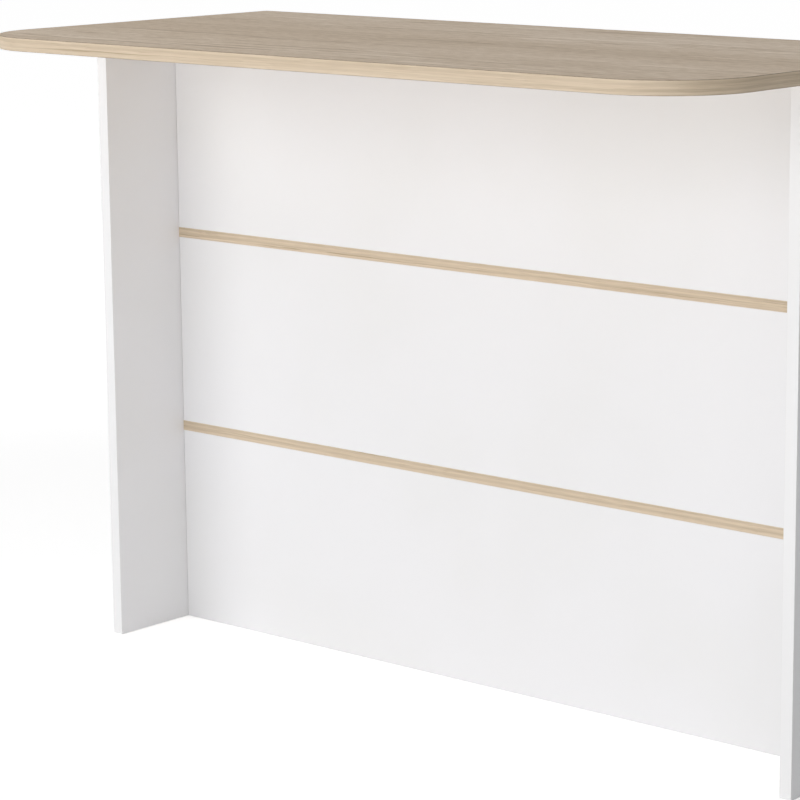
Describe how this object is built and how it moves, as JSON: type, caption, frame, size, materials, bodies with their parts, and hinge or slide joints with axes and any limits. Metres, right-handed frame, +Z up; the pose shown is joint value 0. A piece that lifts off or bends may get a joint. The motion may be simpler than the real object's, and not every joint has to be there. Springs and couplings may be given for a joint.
{
  "type": "kitchen island",
  "caption": "Panel-built kitchen island: oak worktop with rounded front corners over white side panels, open shelves on one side and a knee space on the other.",
  "frame": {"origin": "on the floor, below the middle of the worktop", "axes": "+Z up, +X to the right seen from the seating side, -Y towards the seating side, +Y towards the kitchen side"},
  "size_m": [1.23, 0.6, 0.9],
  "materials": {
    "oak_board": "light oak decor on chipboard, matt",
    "oak_edge_band": "light oak decor edge band, matt",
    "white_board": "white melamine on chipboard, satin",
    "white_edge_band": "white edge band, satin",
    "zinc": "die-cast zinc",
    "steel": "zinc-plated steel",
    "beech": "fluted beech",
    "white_cap": "white moulded plastic",
    "oak_cap": "beige moulded plastic"
  },
  "bodies": {
    "root": {"worktop": "oak_board", "worktop_edge_band": "oak_edge_band", "worktop_rear_band": "oak_edge_band", "left_side_panel": "white_board", "left_panel_front_band": "white_edge_band", "left_panel_rear_band": "white_edge_band", "right_side_panel": "white_board", "right_panel_front_band": "white_edge_band", "right_panel_rear_band": "white_edge_band", "bottom_board": "white_board", "bottom_board_band": "white_edge_band", "lower_shelf": "oak_board", "lower_shelf_strip": "oak_edge_band", "lower_shelf_rear_band": "oak_edge_band", "upper_shelf": "oak_board", "upper_shelf_strip": "oak_edge_band", "upper_shelf_rear_band": "oak_edge_band", "front_top_rail": "white_board", "rear_top_rail": "white_board", "rear_top_rail_band": "white_edge_band", "lower_infill_panel": "white_board", "middle_infill_panel": "white_board", "upper_infill_panel": "white_board", "lower_divider": "white_board", "lower_divider_band": "white_edge_band", "middle_divider": "white_board", "middle_divider_band": "white_edge_band", "upper_divider": "white_board", "upper_divider_band": "white_edge_band", "board_cam_locks": "zinc", "infill_cam_locks": "zinc", "worktop_cam_locks": "zinc", "side_cam_bolts": "steel", "worktop_cam_bolts": "steel", "side_dowels": "beech", "infill_dowels": "beech", "divider_dowels": "beech", "worktop_dowels": "beech", "worktop_screws": "steel", "white_cam_caps": "white_cap", "oak_cam_caps": "oak_cap"}
  },
  "joints": []
}
